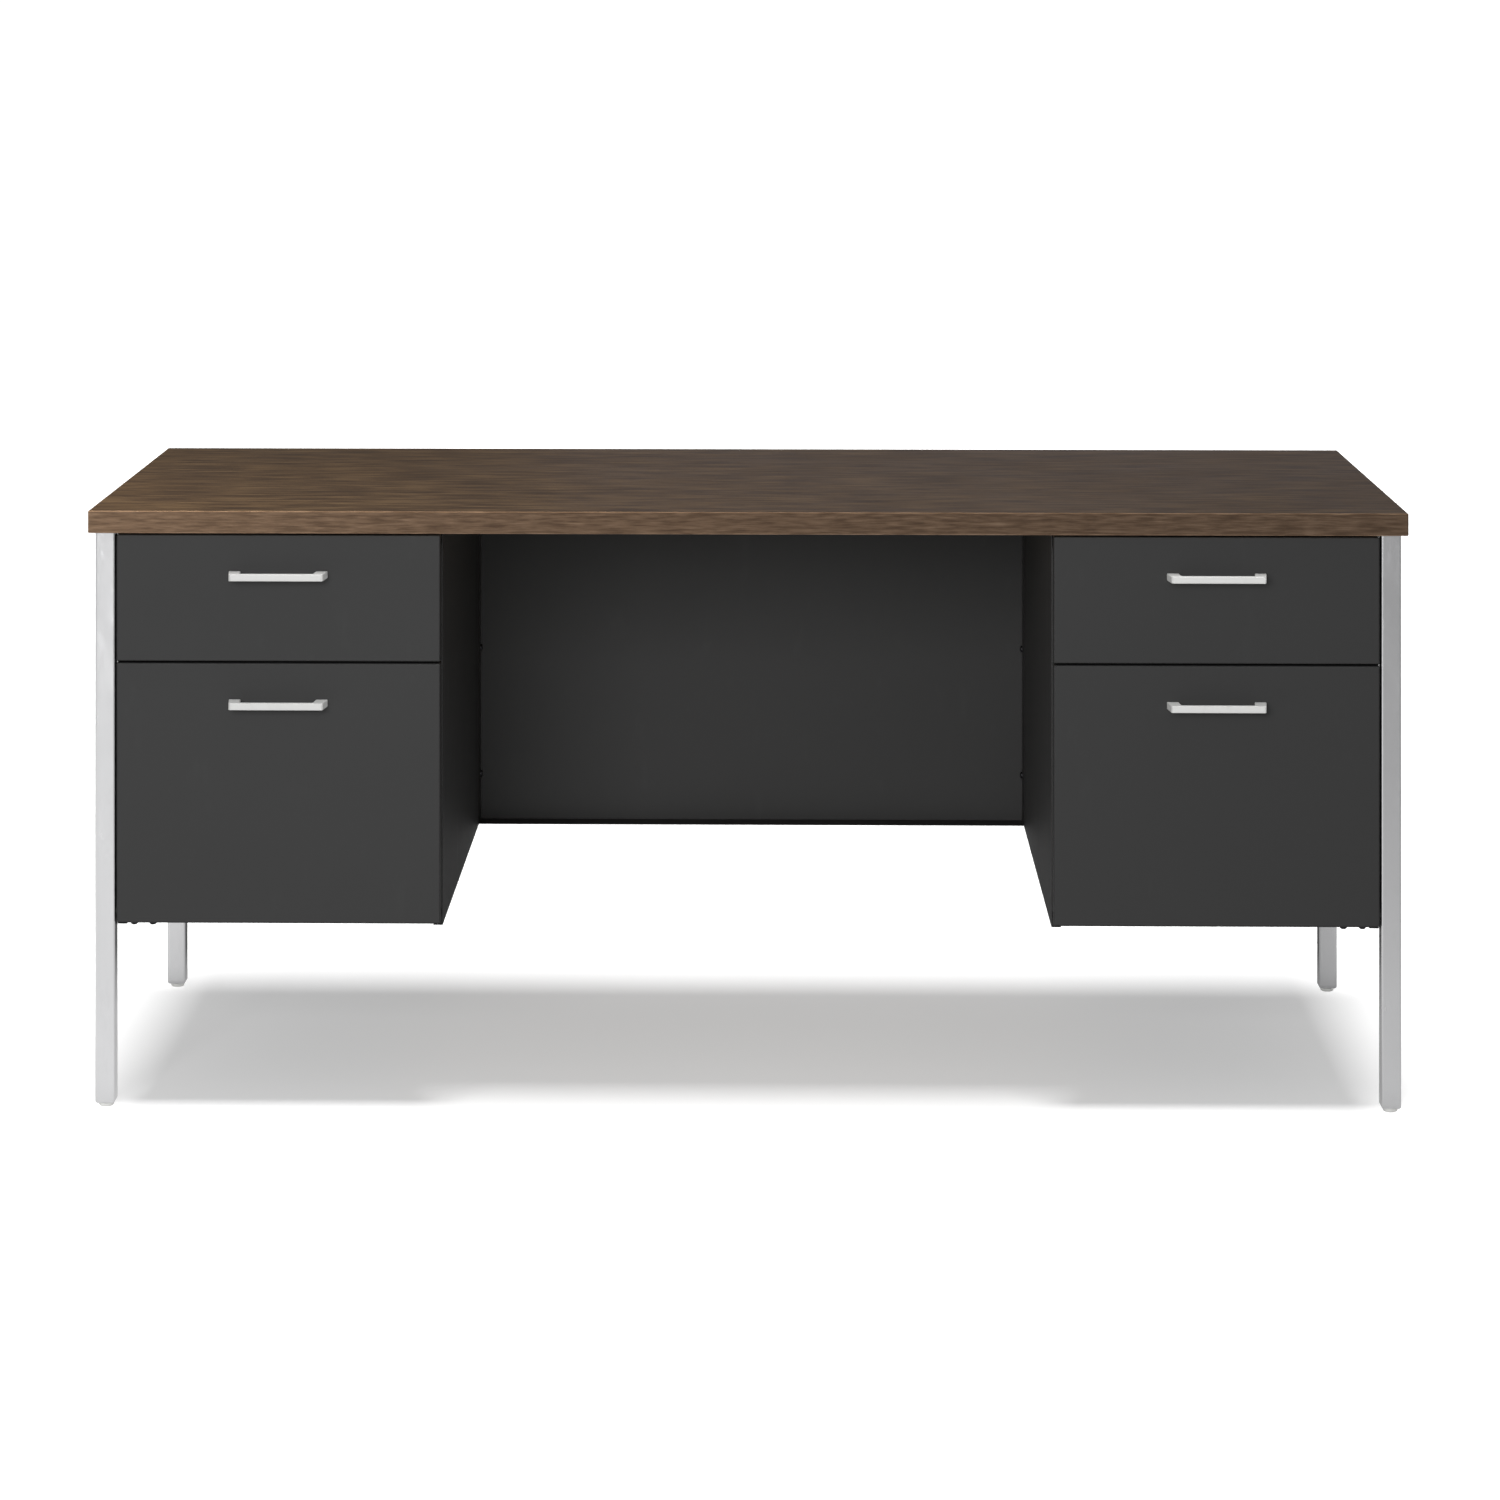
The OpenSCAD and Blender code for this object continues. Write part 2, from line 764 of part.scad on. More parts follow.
// A ball cage: a thin U strip with a row of balls held in each of its two flanges.
module ball_cage(web_u, lip_u, ball_u, ball_z) {
    pitch = cage_l / ball_count;
    block(web_u, cage_v, file_slide_z - ball_z, cage_t, cage_l, 2 * ball_z);
    for (s = [-1, 1]) {
        block(web_u, cage_v, file_slide_z + s * ball_z - cage_t / 2, lip_u - web_u, cage_l, cage_t);
        for (i = [0:ball_count - 1])
            translate([ball_u, cage_v + pitch * (i + 0.5), file_slide_z + s * ball_z]) sphere(ball_r);
    }
}

module outer_cages() {
    color(satin) both_walls()
        ball_cage(outer_cage_u, outer_cage_lip, outer_ball_u, outer_ball_z);
}

module inner_cages() {
    color(satin) both_walls()
        ball_cage(inner_cage_u, inner_cage_lip, inner_ball_u, inner_ball_z);
}

// ---- One module per node ----

box_handle_z = box_front_z + box_front_h - handle_below_top;
file_handle_z = file_front_z + file_front_h - handle_below_top;

module box_front() { drawer_front(box_front_z, box_front_h); }
module box_body() { drawer_body(box_body_z, box_body_h, box_front_z, box_front_h); }
module file_front() { drawer_front(file_front_z, file_front_h); }
module file_body() { drawer_body(file_body_z, file_body_h, file_front_z, file_front_h); }

desktop_core();
desktop_laminate();
edge_bands();
left() front_leg();  // leg_front_left
right() front_leg();  // leg_front_right
left() rear_leg();  // leg_rear_left
right() rear_leg();  // leg_rear_right
leg_end_caps();
left() glide(leg_front_inset);  // glide_front_left
right() glide(leg_front_inset);  // glide_front_right
left() glide(leg_rear_v);  // glide_rear_left
right() glide(leg_rear_v);  // glide_rear_right
left() outer_side();  // left_pedestal_outer_side
left() inner_side();  // left_pedestal_inner_side
left() pedestal_back();  // left_pedestal_back
left() pedestal_rails();  // left_pedestal_rails
right() outer_side();  // right_pedestal_outer_side
right() inner_side();  // right_pedestal_inner_side
right() pedestal_back();  // right_pedestal_back
right() pedestal_rails();  // right_pedestal_rails
modesty_panel();
frame_bolts();
top_screws();
drawer_bumpers();
left() box_case_members();  // left_box_slide_case_members
left() file_case_members();  // left_file_slide_case_members
right() box_case_members();  // right_box_slide_case_members
right() file_case_members();  // right_file_slide_case_members
left() box_front();  // left_box_drawer_front
left() box_body();  // left_box_drawer_body
left() handle(box_handle_z);  // left_box_handle
left() handle_screws(box_handle_z);  // left_box_handle_screws
left() box_drawer_members();  // left_box_slide_drawer_members
left() rollers(front_roller_v);  // left_box_front_rollers
left() rollers(rear_roller_v);  // left_box_rear_rollers
right() box_front();  // right_box_drawer_front
right() box_body();  // right_box_drawer_body
right() handle(box_handle_z);  // right_box_handle
right() handle_screws(box_handle_z);  // right_box_handle_screws
right() box_drawer_members();  // right_box_slide_drawer_members
right() rollers(front_roller_v);  // right_box_front_rollers
right() rollers(rear_roller_v);  // right_box_rear_rollers
left() file_front();  // left_file_drawer_front
left() file_body();  // left_file_drawer_body
left() handle(file_handle_z);  // left_file_handle
left() handle_screws(file_handle_z);  // left_file_handle_screws
left() hang_rails();  // left_file_hang_rails
left() file_drawer_members();  // left_file_slide_drawer_members
left() file_middle_members();  // left_file_slide_middle_members
left() outer_cages();  // left_file_outer_ball_cages
left() inner_cages();  // left_file_inner_ball_cages
right() file_front();  // right_file_drawer_front
right() file_body();  // right_file_drawer_body
right() handle(file_handle_z);  // right_file_handle
right() handle_screws(file_handle_z);  // right_file_handle_screws
right() hang_rails();  // right_file_hang_rails
right() file_drawer_members();  // right_file_slide_drawer_members
right() file_middle_members();  // right_file_slide_middle_members
right() outer_cages();  // right_file_outer_ball_cages
right() inner_cages();  // right_file_inner_ball_cages
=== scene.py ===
"""The looks of a double-pedestal teacher desk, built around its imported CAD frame. Metres, +X right,
-Y front, +Z up. Every place and size on the desk comes from the frame's own nodes."""

import json
from math import cos, pi, radians, sin

import bmesh
import bpy
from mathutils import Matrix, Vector

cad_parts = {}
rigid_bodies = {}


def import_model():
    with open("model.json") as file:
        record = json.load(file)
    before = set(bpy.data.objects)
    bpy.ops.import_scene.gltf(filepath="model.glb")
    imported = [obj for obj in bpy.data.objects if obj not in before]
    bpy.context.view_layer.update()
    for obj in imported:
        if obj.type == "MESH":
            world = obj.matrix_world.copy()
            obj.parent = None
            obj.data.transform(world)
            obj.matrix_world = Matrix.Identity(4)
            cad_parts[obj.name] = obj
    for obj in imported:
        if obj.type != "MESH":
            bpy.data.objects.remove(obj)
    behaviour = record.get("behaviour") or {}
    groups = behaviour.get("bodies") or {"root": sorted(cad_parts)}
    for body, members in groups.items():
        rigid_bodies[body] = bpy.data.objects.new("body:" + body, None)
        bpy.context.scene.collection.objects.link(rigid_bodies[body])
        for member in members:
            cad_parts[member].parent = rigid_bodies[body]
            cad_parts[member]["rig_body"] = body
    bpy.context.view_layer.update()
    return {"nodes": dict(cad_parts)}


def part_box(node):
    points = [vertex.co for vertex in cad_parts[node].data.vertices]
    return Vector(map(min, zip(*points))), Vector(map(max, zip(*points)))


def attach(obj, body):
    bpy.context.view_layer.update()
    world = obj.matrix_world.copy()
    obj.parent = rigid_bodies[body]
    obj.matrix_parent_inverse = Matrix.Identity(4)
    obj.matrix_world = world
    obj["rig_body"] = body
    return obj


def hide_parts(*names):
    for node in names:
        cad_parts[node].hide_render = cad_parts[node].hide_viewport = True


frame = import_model()

MM = 0.001
WELD = 1e-6              # CAD vertices closer than this are one vertex
FLAT = radians(0.5)      # faces that meet at less than this are one face
SHARP = radians(35)      # an edge that turns by more than this is a corner
SIDES = ("left", "right")
KINDS = ("box", "file")
WHITE = 1.1              # bright enough to show as pure white


# ---- Node graphs ----------------------------------------------------------------------------


class Finish:
    """A material with one Principled shader, built up by methods that each return a socket."""

    def __init__(self, name):
        self.material = bpy.data.materials.new(name)
        self.material.use_nodes = True
        self.tree = self.material.node_tree
        self.shader = self.tree.nodes["Principled BSDF"]
        self.place = self.tree.nodes.new("ShaderNodeTexCoord").outputs["Object"]
        axes = self.add("ShaderNodeSeparateXYZ", Vector=self.place)
        self.x, self.y, self.z = axes.outputs

    def add(self, kind, options=None, **inputs):
        """A new node with its options set and its inputs fed by sockets or plain values."""
        node = self.tree.nodes.new(kind)
        for key, value in (options or {}).items():
            setattr(node, key, value)
        for key, value in inputs.items():
            self.feed(node.inputs[key.replace("_", " ")], value)
        return node

    def feed(self, target, value):
        if isinstance(value, bpy.types.NodeSocket):
            self.tree.links.new(value, target)
        elif value is not None:
            target.default_value = value

    def maths(self, operation, a, b=0.0):
        node = self.add("ShaderNodeMath", {"operation": operation})
        self.feed(node.inputs[0], a)
        self.feed(node.inputs[1], b)
        return node.outputs[0]

    def total(self, *parts):
        """The sum of (weight, socket) pairs."""
        result = 0.0
        for weight, part in parts:
            result = self.maths("ADD", self.maths("MULTIPLY", part, weight), result)
        return result

    def vector(self, x=0.0, y=0.0, z=0.0):
        return self.add("ShaderNodeCombineXYZ", X=x, Y=y, Z=z).outputs[0]

    def stretched(self, sx, sy, sz):
        """Object coordinates, scaled by repeats per metre along each axis."""
        node = self.add("ShaderNodeVectorMath", {"operation": "MULTIPLY"})
        self.feed(node.inputs[0], self.place)
        node.inputs[1].default_value = (sx, sy, sz)
        return node.outputs[0]

    def noise(self, vector, scale=1.0, detail=2.0, rough=0.5):
        node = self.add("ShaderNodeTexNoise", Vector=vector, Scale=scale, Detail=detail,
                        Roughness=rough)
        return node.outputs["Fac"]

    def cells(self, vector, scale):
        node = self.add("ShaderNodeTexVoronoi", {"feature": "F1"}, Vector=vector, Scale=scale)
        return node.outputs["Color"], node.outputs["Distance"]

    def spread(self, value, low, high, to_low=0.0, to_high=1.0):
        """value, mapped from low..high to to_low..to_high and held inside."""
        node = self.add("ShaderNodeMapRange", Value=value)
        for name, number in zip(("From Min", "From Max", "To Min", "To Max"),
                                (low, high, to_low, to_high)):
            node.inputs[name].default_value = number
        return node.outputs[0]

    def ramp(self, value, stops):
        """A colour ramp through (position, colour) stops."""
        node = self.add("ShaderNodeValToRGB", Fac=value)
        elements = node.color_ramp.elements
        while len(elements) < len(stops):
            elements.new(0.5)
        for element, (position, colour) in zip(elements, stops):
            element.position = position
            element.color = (*colour, 1.0)
        return node.outputs["Color"]

    def scaled(self, colour, by):
        """A colour times a number socket."""
        node = self.add("ShaderNodeVectorMath", {"operation": "SCALE"})
        self.feed(node.inputs[0], colour)
        self.feed(node.inputs["Scale"], by)
        return node.outputs[0]

    def bump(self, height, depth, strength):
        """A normal from a height of 0 to 1 that stands for depth metres."""
        node = self.add("ShaderNodeBump", Height=height, Distance=depth, Strength=strength)
        return node.outputs["Normal"]

    def done(self, colour, roughness, normal=None, metallic=0.0, **others):
        """Feeds the Principled shader and returns the material."""
        self.feed(self.shader.inputs["Base Color"], colour)
        self.feed(self.shader.inputs["Roughness"], roughness)
        self.feed(self.shader.inputs["Metallic"], metallic)
        self.feed(self.shader.inputs["Normal"], normal)
        for key, value in others.items():
            self.feed(self.shader.inputs[key.replace("_", " ")], value)
        return self.material


# ---- Materials ------------------------------------------------------------------------------

# Walnut from its darkest to its palest, and where each shade stands in the range of tones.
WALNUTS = ((0.0, (0.046, 0.026, 0.014)), (0.3, (0.064, 0.038, 0.021)), (0.5, (0.085, 0.052, 0.030)),
           (0.75, (0.109, 0.069, 0.041)), (1.0, (0.140, 0.092, 0.057)))
TOP_CAST = (0.95, 0.915, 0.735)
TOP_EVEN = 0.078
TOP_DULL = 0.38
BAND_CAST = (0.97, 1.00, 1.09)
BAND_EVEN = 0.15
BAND_FINE = 2.7
BAND_DULL = 0.26
CORNER_HIGHLIGHT = 2.2          # how much paler the band's rounded corners are painted, a painted highlight
WANDER = 0.008           # how far the grain drifts off straight
PORES_DARK = 0.72        # how dark a pore is beside the wood
WALNUT_SHINE = 0.28
WALNUT_DEPTH = 0.12 * MM
COAT_GREY = 0.022
COAT_DULL = 0.50
COAT_SHINE = 0.38
COAT_DEPTH = 0.05 * MM
ZINC = (0.52, 0.53, 0.55)
CHIPS = ((0.1, (0.20, 0.12, 0.065)), (0.4, (0.36, 0.24, 0.14)),
         (0.7, (0.50, 0.36, 0.22)), (0.95, (0.62, 0.48, 0.31)))

BAND_T = 2 * MM          # thickness of the edge band
BAND_R = 1.6 * MM        # radius of its outer edges
SEAM_R = 0.25 * MM       # radius of its edges against the laminate
BAND_Z = tuple(corner.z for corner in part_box("edge_bands"))


def walnut(name, along, dull, cast, even, fine=1.0, highlight_z=None):
    """Printed walnut: straight grain along one axis, in streaks, with slow bands and fine pores.
    dull is its roughness, cast tints it, even lowers the contrast and fine makes the streaks
    smaller. highlight_z is the band's (lowest, highest) z, and the band's two rounded corners
    there are painted paler, a painted highlight for light caught on the edges."""
    m = Finish(name)
    if along == "x":
        run, side = m.x, m.maths("ADD", m.y, m.z)
    else:
        run, side = m.y, m.maths("ADD", m.x, m.z)

    def grain(per_run, per_side, detail, rough=0.5):
        """Noise drawn out along the grain, in repeats per metre along it and across it."""
        place = m.vector(m.maths("MULTIPLY", run, per_run), m.maths("MULTIPLY", side, per_side))
        return m.noise(place, detail=detail, rough=rough)

    drift = grain(2.2, 9.0, 3)
    side = m.maths("ADD", side, m.maths("MULTIPLY", m.maths("SUBTRACT", drift, 0.5), WANDER))
    bands = grain(0.8, 14.0, 2, 0.5)
    figure = grain(10.0 * fine, 84.0 * fine, 1, 0.5)
    streaks = grain(16.5 * fine, 200.0 * fine, 3, 0.65)
    fibres = grain(30.0, 460.0, 2, 0.6)
    pores = m.spread(grain(110.0, 1500.0, 1, 0.5), 0.60, 0.72)
    tone = m.total((0.10, bands), (0.36, figure), (0.28, streaks), (0.26, fibres))
    stops = [(at, tuple(part * by for part, by in zip(shade, cast))) for at, shade in WALNUTS]
    colour = m.ramp(m.spread(tone, 0.5 - even, 0.5 + even), stops)
    colour = m.scaled(colour, m.spread(pores, 0, 1, 1.0, PORES_DARK))
    # Painted highlight: the band's top and bottom rounded corners are made paler, standing in for
    # light caught on the edges.
    if highlight_z:
        middle = sum(highlight_z) / 2
        reach = (highlight_z[1] - highlight_z[0]) / 2
        off = m.maths("ABSOLUTE", m.maths("SUBTRACT", m.z, middle))
        painted_highlight = m.spread(off, reach - BAND_R, reach - 0.3 * BAND_R, 1.0, CORNER_HIGHLIGHT)
        colour = m.scaled(colour, painted_highlight)
    scuffs = m.noise(m.stretched(5, 5, 5), detail=5, rough=0.65)
    roughness = m.total((0.16, scuffs), (0.10, fibres), (1.0, dull))
    height = m.total((0.55, fibres), (0.45, streaks), (-0.8, pores))
    return m.done(colour, roughness, m.bump(height, WALNUT_DEPTH, 0.5),
                  Specular_IOR_Level=WALNUT_SHINE)


def powder_coat(name, grey):
    """Satin charcoal powder coat: orange-peel skin, faint handling marks."""
    m = Finish(name)
    peel = m.noise(m.place, 620, 2, 0.5)
    fine = m.noise(m.place, 2600, 2, 0.5)
    clouds = m.noise(m.stretched(3, 3, 4), detail=4, rough=0.6)
    marks = m.spread(m.noise(m.stretched(34, 34, 9), detail=4, rough=0.7), 0.60, 0.80)
    light = m.total((0.09, clouds), (0.05, fine), (0.05, marks), (0.905, 1.0))
    colour = m.scaled((grey, grey, grey), light)
    roughness = m.total((0.10, clouds), (0.08, fine), (-0.06, marks), (COAT_DULL, 1.0))
    height = m.total((0.75, peel), (0.25, fine))
    return m.done(colour, roughness, m.bump(height, COAT_DEPTH, 0.6),
                  Specular_IOR_Level=COAT_SHINE)


def plated(name, tint, dull, brushed=False, metal=1.0):
    """Plated metal, polished or brushed along x, with haze and small smears."""
    m = Finish(name)
    haze = m.noise(m.stretched(14, 14, 9), detail=5, rough=0.62)
    smears = m.spread(m.noise(m.stretched(60, 60, 22), detail=4, rough=0.7), 0.52, 0.78)
    rates = (40, 2600, 2600) if brushed else (700, 700, 90)
    lines = m.noise(m.stretched(*rates), detail=3, rough=0.6)
    colour = m.scaled(tint, m.total((0.07, haze), (0.05, lines), (-0.05, smears), (0.94, 1.0)))
    roughness = m.total((0.10, haze), (0.10, lines), (0.08, smears), (dull, 1.0))
    depth = (0.03 if brushed else 0.01) * MM
    return m.done(colour, roughness, m.bump(lines, depth, 0.4), metallic=metal)


def galvanised(name):
    """Zinc plate: flat crystals of slightly different brightness, with dull patches."""
    m = Finish(name)
    crystals, _ = m.cells(m.place, 190)
    grain = m.add("ShaderNodeSeparateColor", Color=crystals).outputs[0]
    haze = m.noise(m.place, 25, 4, 0.6)
    wear = m.spread(m.noise(m.stretched(60, 9, 60), detail=4, rough=0.7), 0.55, 0.75)
    light = m.total((0.16, grain), (0.14, haze), (-0.10, wear), (0.80, 1.0))
    roughness = m.total((0.12, grain), (0.16, haze), (0.10, wear), (0.24, 1.0))
    return m.done(m.scaled(ZINC, light), roughness, m.bump(grain, 0.01 * MM, 0.3), metallic=1.0)


def chipboard(name):
    """Pressed chips: overlapping flakes of several browns over a darker binder."""
    m = Finish(name)
    warped = m.add("ShaderNodeVectorMath", {"operation": "ADD"})
    m.feed(warped.inputs[0], m.stretched(1, 1, 1.6))
    wobble = m.add("ShaderNodeTexNoise", Vector=m.place, Scale=90.0).outputs["Color"]
    m.feed(warped.inputs[1], m.scaled(wobble, 0.006))
    chips, distance = m.cells(warped.outputs[0], 260)
    shade = m.add("ShaderNodeSeparateColor", Color=chips).outputs[1]
    dust = m.noise(m.place, 1400, 3, 0.6)
    tone = m.total((0.7, shade), (0.3, dust))
    height = m.total((0.6, distance), (0.4, dust))
    return m.done(m.ramp(tone, CHIPS), m.spread(dust, 0, 1, 0.68, 0.92),
                  m.bump(height, 0.2 * MM, 0.6))


def moulded(name, tint, dull, scuffed):
    """Moulded nylon or rubber with a fine matt skin and scuffs, scuffed lighter or darker."""
    m = Finish(name)
    skin = m.noise(m.place, 900, 3, 0.6)
    scuffs = m.spread(m.noise(m.place, 160, 4, 0.7), 0.55, 0.75)
    light = m.total((0.06, skin), (scuffed, scuffs), (0.96, 1.0))
    return m.done(m.scaled(tint, light), m.total((0.12, skin), (0.1, scuffs), (dull, 1.0)),
                  m.bump(skin, 0.05 * MM, 0.5))


def banding(name, along):
    return walnut(name, along, BAND_DULL, BAND_CAST, BAND_EVEN, BAND_FINE, BAND_Z)


FINISHES = {
    "walnut_laminate": walnut("walnut_laminate_top", "x", TOP_DULL, TOP_CAST, TOP_EVEN),
    "walnut_edge_band": banding("walnut_band_lengthwise", "x"),
    "particleboard": chipboard("pressed_chipboard"),
    "chrome": plated("chrome_tube", (0.80, 0.80, 0.81), 0.10),
    "charcoal_steel": powder_coat("charcoal_powder_coat", COAT_GREY),
    "satin_nickel": plated("brushed_nickel", (0.54, 0.54, 0.53), 0.48, True, 0.2),
    "zinc_steel": galvanised("zinc_plate"),
    "black_steel": plated("black_oxide", (0.030, 0.030, 0.032), 0.34),
    "rubber": moulded("black_rubber", (0.022, 0.022, 0.023), 0.62, 0.2),
    "nylon": moulded("white_nylon", (0.72, 0.72, 0.70), 0.38, -0.06),
}
WALNUT_ENDS = banding("walnut_band_crosswise", "y")


# ---- Mesh work ------------------------------------------------------------------------------

SLOTS = {name: node.material_slots[0].name for name, node in frame["nodes"].items()}


def new_piece(name, mesh, body, slot, stands_for, materials=None):
    """Puts a finished mesh in the scene, riding on its body in place of its CAD nodes."""
    piece = bpy.data.objects.new(name, mesh)
    bpy.context.scene.collection.objects.link(piece)
    for material in materials or [FINISHES[slot]]:
        mesh.materials.append(material)
    weighted = piece.modifiers.new("even_shading", "WEIGHTED_NORMAL")
    weighted.keep_sharp = True
    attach(piece, body)
    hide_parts(*stands_for)
    return piece


def as_mesh(bm, name):
    """Turns a bmesh into a mesh that is smooth except across its corners."""
    for face in bm.faces:
        face.smooth = True
    mesh = bpy.data.meshes.new(name)
    bm.to_mesh(mesh)
    bm.free()
    mesh.set_sharp_from_angle(angle=SHARP)
    return mesh


def corner_edges(bm, test):
    """Long convex edges that turn by more than SHARP and pass the test on (middle, direction)."""
    found = []
    for edge in bm.edges:
        if len(edge.link_faces) != 2 or not edge.is_convex:
            continue
        if edge.calc_length() < 2 * MM or edge.calc_face_angle() < SHARP:
            continue
        a, b = (v.co for v in edge.verts)
        if test((a + b) / 2, (b - a).normalized()):
            found.append(edge)
    return found


def softened(node, *rounds):
    """A copy of a CAD node with its corners rounded. Each round is (radius, steps, test), and the
    corners that pass a round's test get its radius."""
    bm = bmesh.new()
    bm.from_mesh(frame["nodes"][node].data)
    bmesh.ops.remove_doubles(bm, verts=bm.verts, dist=WELD)
    bmesh.ops.dissolve_limit(bm, angle_limit=FLAT, verts=bm.verts, edges=bm.edges)
    for radius, steps, test in rounds:
        bmesh.ops.bevel(bm, geom=corner_edges(bm, test), offset=radius, offset_type="OFFSET",
                        segments=steps, profile=0.5, affect="EDGES", clamp_overlap=False)
    bmesh.ops.remove_doubles(bm, verts=bm.verts, dist=WELD)
    body = frame["nodes"][node]["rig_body"]
    new_piece(node + "_finish", as_mesh(bm, node + "_finish"), body, SLOTS[node], [node])


def anywhere(middle, direction):
    return True


# ---- Desktop --------------------------------------------------------------------------------

TURNS = ((1, 1, 0), (-1, 1, 90), (-1, -1, 180), (1, -1, 270))    # signs of x and y, first angle
TURN_STEPS = 4


def arc(cx, cz, r, start, stop, steps):
    """Points on an arc from start to stop, in degrees."""
    return [(cx + r * cos(radians(start + (stop - start) * i / steps)),
             cz + r * sin(radians(start + (stop - start) * i / steps)))
            for i in range(steps + 1)]


def edge_band():
    """One band round the desktop: rounded outside, a fine eased seam against the laminate, and
    corners turned at the band's own thickness."""
    lo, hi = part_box("edge_bands")
    height = hi.z - lo.z
    profile = (arc(BAND_R, BAND_R, BAND_R, 270, 180, 5)
               + arc(BAND_R, height - BAND_R, BAND_R, 180, 90, 5)
               + arc(BAND_T - SEAM_R, height - SEAM_R, SEAM_R, 90, 0, 3)
               + arc(BAND_T - SEAM_R, SEAM_R, SEAM_R, 0, -90, 3))
    bm = bmesh.new()
    rings = []
    for sx, sy, start in TURNS:
        centre = Vector(((hi.x if sx > 0 else lo.x) - sx * BAND_T,
                         (hi.y if sy > 0 else lo.y) - sy * BAND_T, lo.z))
        for step in range(TURN_STEPS + 1):
            angle = radians(start + 90 * step / TURN_STEPS)
            out = Vector((cos(angle), sin(angle), 0))
            rings.append([bm.verts.new(centre + out * (BAND_T - inset) + Vector((0, 0, z)))
                          for inset, z in profile])
    for ring, following in zip(rings, rings[1:] + rings[:1]):
        for i in range(len(profile)):
            j = (i + 1) % len(profile)
            bm.faces.new((ring[i], following[i], following[j], ring[j]))
    bmesh.ops.remove_doubles(bm, verts=bm.verts, dist=WELD)
    bmesh.ops.recalc_face_normals(bm, faces=bm.faces)
    middle = (lo + hi) / 2
    for face in bm.faces:
        offset = face.calc_center_median() - middle
        beyond_end = abs(offset.x) - (hi.x - lo.x) / 2 + BAND_T
        beyond_front = abs(offset.y) - (hi.y - lo.y) / 2 + BAND_T
        face.material_index = int(beyond_end > beyond_front)
    return new_piece("desktop_edge_band", as_mesh(bm, "desktop_edge_band"), "frame",
                     "walnut_edge_band", ["edge_bands"],
                     [FINISHES["walnut_edge_band"], WALNUT_ENDS])


band = edge_band()

# ---- Steel ----------------------------------------------------------------------------------

PAN_R = 1.8 * MM         # outside radius of a drawer front's bends
HANDLE_R = 0.9 * MM
SHEET_R = 0.45 * MM      # edges of the case sheets
FINE_R = 0.3 * MM        # all finer edges


def pan_corners(node):
    """Tests for a drawer front's bent edges: those round its face, and those running back."""
    lo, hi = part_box(node)

    def bent(middle, direction):
        at_face = middle.y < lo.y + WELD and abs(direction.y) < 0.5
        at_side = min(middle.x - lo.x, hi.x - middle.x) < WELD
        at_level = min(middle.z - lo.z, hi.z - middle.z) < WELD
        return at_face or (abs(direction.y) > 0.5 and at_side and at_level)

    return bent


def not_running_back(middle, direction):
    return abs(direction.y) < 0.9


for side in SIDES:
    for kind in KINDS:
        front = f"{side}_{kind}_drawer_front"
        softened(front, (PAN_R, 4, pan_corners(front)), (FINE_R, 2, not_running_back))
        softened(f"{side}_{kind}_drawer_body", (FINE_R, 2, anywhere))
        softened(f"{side}_{kind}_handle", (HANDLE_R, 3, anywhere))
    for name in ("outer_side", "inner_side", "back", "rails"):
        softened(f"{side}_pedestal_{name}", (SHEET_R, 3, anywhere))
    softened(f"{side}_file_hang_rails", (FINE_R, 2, anywhere))
softened("modesty_panel", (SHEET_R, 3, anywhere))

for name, node in frame["nodes"].items():
    if not node.hide_render:
        node.data.materials.clear()
        node.data.materials.append(FINISHES[SLOTS[name]])

# ---- Stage ----------------------------------------------------------------------------------

# The floor is painted twice: as the camera sees it, and as the desk's lower parts reflect it. Each
# zone is (start, end, value up to the start, value past the end), in metres along the axis that it
# is named for.
FLOOR_HALF = 40.0
FLOOR_TONE = 0.8
FLOOR_BOUNCE = 0.20
GLOW_OUTWARD = (2.0, 12.0, 0.32, WHITE)
UNSEEN_UNDER_Y = (0.2, 0.6, 1.0, 0.12)
UNSEEN_BEHIND_Y = (1.1, 1.7, 0.0, 0.88)
UNSEEN_GLOW_X = (-1.2, 1.6, 0.42, 0.03)
UNSEEN_GLOW_Y = (-5.0, -0.6, -0.24, 0.14)


def make_floor():
    bm = bmesh.new()
    bmesh.ops.create_grid(bm, x_segments=1, y_segments=1, size=FLOOR_HALF)
    mesh = bpy.data.meshes.new("floor")
    bm.to_mesh(mesh)
    bm.free()
    floor = bpy.data.objects.new("floor", mesh)
    bpy.context.scene.collection.objects.link(floor)
    m = Finish("floor_paper")
    seen = m.add("ShaderNodeLightPath").outputs["Is Camera Ray"]
    unseen = m.maths("SUBTRACT", 1.0, seen)
    open_floor = m.total((1.0, m.spread(m.y, *UNSEEN_UNDER_Y)), (1.0, m.spread(m.y, *UNSEEN_BEHIND_Y)))
    bounce = m.maths("MULTIPLY", unseen, m.maths("MULTIPLY", open_floor, FLOOR_BOUNCE))
    tone = m.scaled((1, 1, 1), m.total((FLOOR_TONE, seen), (1.0, bounce)))
    away = m.add("ShaderNodeVectorMath", {"operation": "LENGTH"})
    m.feed(away.inputs[0], m.place)
    glow_seen = m.spread(away.outputs["Value"], *GLOW_OUTWARD)
    across = m.maths("ADD", m.spread(m.x, *UNSEEN_GLOW_X), m.spread(m.y, *UNSEEN_GLOW_Y))
    glow_unseen = m.maths("MULTIPLY", open_floor, m.maths("MAXIMUM", across, 0.0))
    glow = m.total((1.0, m.maths("MULTIPLY", seen, glow_seen)),
                   (1.0, m.maths("MULTIPLY", unseen, glow_unseen)))
    material = m.done(tone, 0.9, Specular_IOR_Level=0.0, Emission_Color=(1, 1, 1, 1),
                      Emission_Strength=glow)
    mesh.materials.append(material)
    return floor


